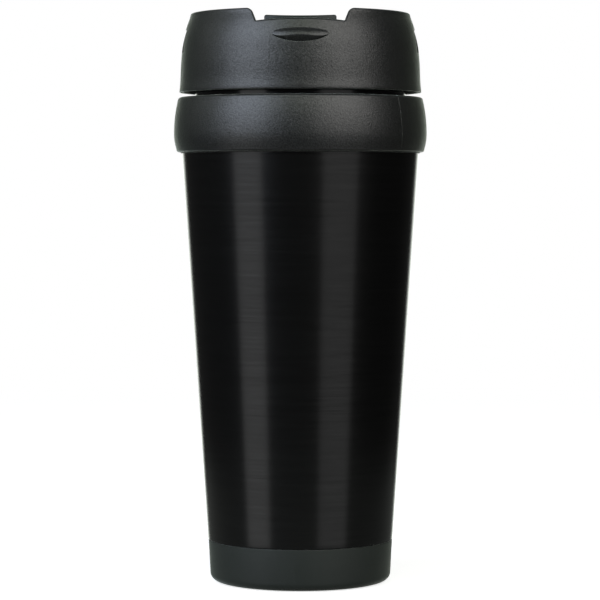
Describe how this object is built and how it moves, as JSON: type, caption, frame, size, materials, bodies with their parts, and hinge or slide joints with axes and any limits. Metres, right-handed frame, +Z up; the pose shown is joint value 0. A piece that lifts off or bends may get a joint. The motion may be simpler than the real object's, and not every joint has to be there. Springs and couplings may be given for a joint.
{
  "type": "insulated tumbler",
  "caption": "Tapered insulated travel tumbler with a textured grip collar, a screw-on lid with a notched rim, and a thumb slide over the drink hole.",
  "frame": {"origin": "centre of the foot, on the surface it stands on", "axes": "+Z up the axis to the lid's rim, -Y to the thumb notch and the drink hole, +X to the right as seen from the front"},
  "size_m": [0.089, 0.089, 0.2],
  "materials": {
    "coated_steel": "black coating over fine horizontal brushing",
    "liner_gloss": "glossy black",
    "grip_plastic": "fine moulded texture",
    "lid_plastic": "fine moulded texture",
    "core_plastic": "smooth satin",
    "slider_plastic": "smooth satin",
    "base_plastic": "smooth matte, slightly green",
    "seal_silicone": "translucent grey silicone",
    "seal_dark": "dark rubber",
    "foot_rubber": "matte rubber",
    "cushion_foam": "closed-cell foam"
  },
  "bodies": {
    "cup": {"outer_shell": "coated_steel", "inner_liner": "liner_gloss", "grip_collar": "grip_plastic", "collar_seal": "seal_dark", "base_cup": "base_plastic", "base_seal": "seal_dark", "foot_pad": "foot_rubber", "liner_pad": "cushion_foam"},
    "gasket": {"lid_gasket": "seal_silicone"},
    "lid": {"lid_shell": "lid_plastic", "lid_core": "core_plastic"},
    "slider": {"thumb_slider": "slider_plastic", "slider_gate": "core_plastic", "gate_seal": "seal_silicone", "vent_seal": "seal_silicone"}
  },
  "joints": [
    {"name": "lid_rise", "type": "slide", "parent": "cup", "child": "gasket", "axis": [0, 0, 1], "range_m": [0, 0.012]},
    {"name": "lid_turn", "type": "hinge", "parent": "gasket", "child": "lid", "pos_m": [0, 0, 0.187], "axis": [0, 0, 1], "range_deg": [0, 360]},
    {"name": "slider_slide", "type": "slide", "parent": "lid", "child": "slider", "axis": [0, 1, 0], "range_m": [0, 0.014]}
  ],
  "couplings": [
    {"joint": "lid_rise", "follows": "lid_turn", "m_per_rad": 0.0019098}
  ]
}
